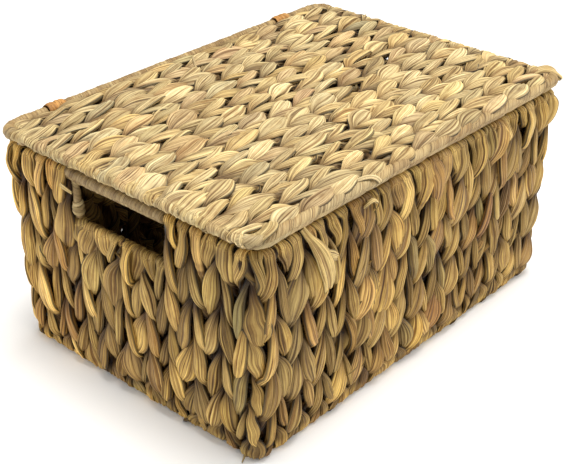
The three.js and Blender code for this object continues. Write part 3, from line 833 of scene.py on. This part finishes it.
for end, sx in (("left", -1), ("right", 1)):
    rng = np.random.default_rng([83, sx + 1])
    ys = np.linspace(HOLE_Y0 - 4, HOLE_Y1 + 6, 140)
    hx = LOOP_X + LEAN_X * RIM_Z
    P = np.stack([sx * hx + 0 * ys, ys, RIM_Z + 0 * ys], 1)
    N = np.tile([float(sx), 0, 0], (len(ys), 1))
    build_piece(f"hand_hole_grip_{end}", [wound_bar(rng, P, N, 5.1, 4.4, 0.3, GRIP_TONES, spacing=0.6, m=32, ribs=0.03, taper=2)],
                BIND_MAT, "basket", nodes=(f"handle_grip_{end}",))
    zs = np.linspace(145, 180, 80)
    P = np.stack([sx * (LOOP_X + LEAN_X * zs), POST_A_Y + 0 * zs, zs], 1)
    N = np.tile([float(sx), 0, 0], (len(zs), 1))
    smooth_part = wound_bar(rng, P, N, 3.0, 9.0, 0.18, GRIP_TONES, spacing=0.7, m=24, ribs=0.04)
    coils = []
    for q, (zc, rr) in enumerate(((150.6, 5.2), (154.2, 5.2), (157.6, 4.6))):
        ang = np.linspace(0, 2 * PI, 60, endpoint=False)
        C = np.stack([sx * (LOOP_X + LEAN_X * zc) + (rr - 1.7) * np.cos(ang), POST_A_Y + (rr - 1.7) * np.sin(ang),
                      zc + 0.9 * np.sin(ang + q)], 1)
        Nn = np.stack([np.cos(ang), np.sin(ang), 0 * ang], 1)
        tone = np.tile(np.append(pick_tone(rng, GRIP_TONES, 0.05), 0.6), (60, 1))
        coils.append(strand_tube(rng, C, Nn, np.full(60, 2.1), np.full(60, 1.6), np.zeros(60), True, tone, m=24, spacing=1.2, rough=0.4))
    build_piece(f"hand_hole_post_wrap_{end}", [smooth_part] + coils, BIND_MAT, "basket",
                nodes=(f"handle_post_wrap_{end}",))


# ----------------------------------------------------------------------------- ties
TIE_TONES = [(srgb(206, 158, 92), 0.6), (srgb(190, 140, 76), 0.4)]
for q, (end, tx) in enumerate((("left", TIE_X[0]), ("right", TIE_X[1]))):
    rng = np.random.default_rng([97, q])
    c0 = np.array([LOOP_Y + LEAN_Y * RIM_Z, RIM_Z])
    c1 = np.array([LID_Y, LID_Z])
    r_0, r_1 = 7.6, 6.3
    axis = (c1 - c0) / np.linalg.norm(c1 - c0)
    side = np.array([-axis[1], axis[0]])
    turns = []
    for k in range(5):
        pts, nor = [], []
        for c, r, a_from in ((c1, r_1, -PI / 2), (c0, r_0, PI / 2)):
            for b in np.linspace(a_from, a_from + PI, 26):
                d = math.cos(b) * axis - math.sin(b) * side
                pts.append([0, *(c + (r + 0.3 * (k % 2)) * d)]); nor.append([0, *d])
        Q = np.array(pts)
        ang = np.linspace(0, 2 * PI, len(Q), endpoint=False)
        Q[:, 0] = tx + (k - 2) * 3.3 + 1.2 * np.sin(ang + k * 1.7)
        at, (Q, nn) = resample(Q, [np.array(nor)], 1.0, True)
        Q = smoothed(Q, 1.5, True)
        tone = np.tile(np.append(pick_tone(rng, TIE_TONES, 0.08), 0.8), (len(Q), 1))
        turns.append(strand_tube(rng, Q, nn, np.full(len(Q), 2.3), np.full(len(Q), 0.75), np.zeros(len(Q)), True, tone, m=20, spacing=1.2, rough=0.5))
    build_piece(f"hinge_tie_strip_{end}", turns, TIE_MAT, "basket", nodes=(f"hinge_tie_{end}",))


# ------------------------------------------------------------ loose ends and tears
def loose_strand(rng, pts, nor, width, thick, tone, torn=True, spacing=0.8, m=30, rough=1.0, jag=2.6):
    """A short open strand through the given points. Its far end is torn off raggedly."""
    pts, nor = np.array(pts, float), np.array(nor, float)
    d = np.concatenate([[0], np.cumsum(np.linalg.norm(np.diff(pts, axis=0), axis=1))])
    at = np.linspace(0, d[-1], max(int(d[-1] / 0.8), 12))
    P = smoothed(np.stack([np.interp(at, d, pts[:, c]) for c in range(3)], 1), 3.0, False)
    N = unit(np.stack([np.interp(at, d, nor[:, c]) for c in range(3)], 1))
    w = np.interp(at / d[-1], np.linspace(0, 1, len(width)), width)
    t = np.interp(at / d[-1], np.linspace(0, 1, len(thick)), thick)
    col = np.tile(np.append(tone, 0.0), (len(at), 1))
    g = strand_tube(rng, P, N, w, t, np.zeros(len(at)), False, col, m=m, spacing=spacing, rough=rough)
    if torn:
        n = len(g.co)
        T = unit(g.co[-1].mean(0) - g.co[-4].mean(0))
        tear = rng.normal(size=m) * jag * 0.5
        tear = tear + np.roll(tear, 1) * 0.5
        for q in range(1, 7):
            g.co[n - q] = g.co[n - q] + (tear * (1 - (q - 1) / 6))[:, None] * T
    return g


def on_front(x, z, dep):
    """Point on the front wall, dep outside the wires."""
    return [x, -(LOOP_Y + LEAN_Y * z + dep), z]


PALE = srgb(214, 192, 146)
rng = np.random.default_rng(131)
front_n = [0, -1.0, 0]
bits = [
    # a torn flap hangs from the rim
    loose_strand(rng, [on_front(-146, 190, 4.0), on_front(-143.5, 184, 7.5), on_front(-137.5, 175, 10.4), on_front(-131.5, 165, 12.0),
                       on_front(-126.5, 153, 12.6), on_front(-122, 141, 12.2), on_front(-120.5, 131, 10.8)],
                 [front_n] * 5 + [[0.1, -1, -0.05], [0.1, -1, -0.1]], [2.6, 3.4, 6.0, 7.6, 8.2, 8.0, 6.0], [1.6, 1.7, 1.8, 1.8, 1.8, 1.5, 1.2],
                 srgb(204, 180, 128), rough=0.6),
    loose_strand(rng, [on_front(-129, 164, 11.4), on_front(-121, 160, 12.2), on_front(-113.5, 155, 11.0)],
                 [front_n] * 3, [4.4, 4.6, 3.0], [1.4, 1.4, 0.9], PALE * 0.96),
    # a cut end pokes out under the binding
    loose_strand(rng, [on_front(-77, 179, 5), on_front(-75, 184.5, 8.6), on_front(-71.5, 186, 9.8), on_front(-67.5, 181.5, 9.2)],
                 [[0, -0.4, 1]] * 4, [1.6, 1.9, 2.0, 1.8], [1.3, 1.4, 1.4, 1.2], PALE, spacing=0.6, m=24, rough=0.4, jag=1.0),
    # a short tail at the bottom corner
    loose_strand(rng, [[-186, -118, 5], [-191, -121.5, 3.4], [-195.5, -123, 1.8]], [[0, 0, 1.0]] * 3, [1.2, 0.9, 0.5], [0.8, 0.6, 0.4],
                 PALE * 0.6, spacing=0.6, m=16, rough=0.2, jag=0.5),
    # a straw loop beside the hand hole
    loose_strand(rng, [[-193, 68, 171], [-199.5, 63, 175.5], [-200.5, 57.5, 175], [-197, 52.5, 170.5]], [[-1, 0, 0.3]] * 4,
                 [1.4, 1.7, 1.7, 1.3], [1.0, 1.1, 1.1, 0.9], PALE, spacing=0.6, m=18, rough=0.4, jag=0.6),
]
build_piece("basket_loose_ends", bits, WALL_MAT, "basket", nodes=("weave_front",))
top = LID_Z + 6.5
bits = [
    # the binding is joined: one end is tucked over the other
    loose_strand(rng, [[-84, -134, top - 2.4], [-78, -137, top - 0.4], [-71, -139.5, top - 0.6], [-66, -142.6, top - 3.0], [-65, -144, top - 6.0]],
                 [[0, -0.3, 1]] * 3 + [[0, -0.8, 0.6], [0, -1, 0.1]], [1.4, 2.0, 2.4, 2.4, 2.0], [0.8, 1.0, 1.0, 0.9, 0.8], PALE * 1.06, rough=0.6, jag=1.2),
    # a straw stands up from the weave
    loose_strand(rng, [[-13, 101, top - 1.5], [-8, 108, top + 1.6], [-2, 116, top + 2.4], [4, 123, top + 1.0]], [[0, 0, 1.0]] * 4,
                 [0.8, 1.0, 0.9, 0.6], [0.6, 0.7, 0.6, 0.4], PALE * 1.05, spacing=0.6, m=14, rough=0.2, jag=0.8),
    # a loop of strand over the far front corner, its tip torn
    loose_strand(rng, [[183, -119, top - 4], [190, -123, top - 1.4], [196, -127.5, top - 1.8], [200, -131.5, top - 4.4], [202.2, -134, top - 8.8]],
                 [[0, 0, 1.0], [0, 0, 1.0], [0.1, -0.2, 1], [0.5, -0.45, 0.8], [0.8, -0.6, 0.25]],
                 [4.5, 6.6, 7.8, 8.4, 8.2], [2.0, 2.8, 3.0, 3.0, 2.6], srgb(214, 188, 132), jag=1.2, m=44, rough=1.2),
]
build_piece("lid_loose_ends", bits, LID_MAT, "lid", nodes=("lid_weave",))


# -------------------------------------------------------------------------- stage
def make_floor():
    me = bpy.data.meshes.new("floor")
    e = 6.0
    me.from_pydata([(-e, -e, 0), (e, -e, 0), (e, e, 0), (-e, e, 0)], [], [(0, 1, 2, 3)])
    ob = bpy.data.objects.new("floor", me)
    bpy.context.scene.collection.objects.link(ob)
    mat = bpy.data.materials.new("pale_floor")
    mat.use_nodes = True
    b = mat.node_tree.nodes["Principled BSDF"]
    b.inputs["Base Color"].default_value = (0.90, 0.90, 0.895, 1)
    b.inputs["Roughness"].default_value = 0.9
    b.inputs["Specular IOR Level"].default_value = 0.1
    me.materials.append(mat)


make_floor()


def area_light(name, loc, target, size, power, colour=(1, 1, 1)):
    li = bpy.data.lights.new(name, "AREA")
    li.shape = "RECTANGLE"
    li.size, li.size_y = size
    li.energy = power
    li.color = colour
    ob = bpy.data.objects.new(name, li)
    bpy.context.scene.collection.objects.link(ob)
    ob.location = loc
    ob.rotation_euler = (Vector(target) - Vector(loc)).to_track_quat("-Z", "Y").to_euler()
    return ob


area_light("key", (0.03, -0.15, 1.9), (0, 0, 0.1), (1.0, 1.0), 44, (1.0, 0.985, 0.955))
area_light("front_fill", (-1.15, -2.15, 0.9), (0, 0, 0.08), (1.2, 0.9), 10.5, (1.0, 0.99, 0.97))
area_light("right_fill", (1.25, -1.05, 0.7), (0.1, 0, 0.08), (0.8, 0.7), 12.5, (1.0, 0.99, 0.98))
area_light("left_fill", (-1.2, 1.15, 0.4), (-0.19, 0.1, 0.1), (0.7, 0.6), 8, (1.0, 0.99, 0.98))
world = bpy.data.worlds.new("studio")
world.use_nodes = True
bg = world.node_tree.nodes["Background"]
bg.inputs["Color"].default_value = (1.0, 1.0, 1.0, 1)
bg.inputs["Strength"].default_value = 0.45
bpy.context.scene.world = world

cam = bpy.data.cameras.new("camera")
cam.sensor_width = 36
cam.lens = 77.889
cam.clip_start, cam.clip_end = 0.05, 30
cam_ob = bpy.data.objects.new("camera", cam)
bpy.context.scene.collection.objects.link(cam_ob)
cam_ob.location = (-0.710714, -0.628379, 0.616421)
cam_ob.rotation_euler = (Vector((-0.042831, -0.029127, 0.1015)) - cam_ob.location).to_track_quat("-Z", "Y").to_euler()
bpy.context.scene.camera = cam_ob
bpy.context.scene.view_settings.view_transform = "Standard"
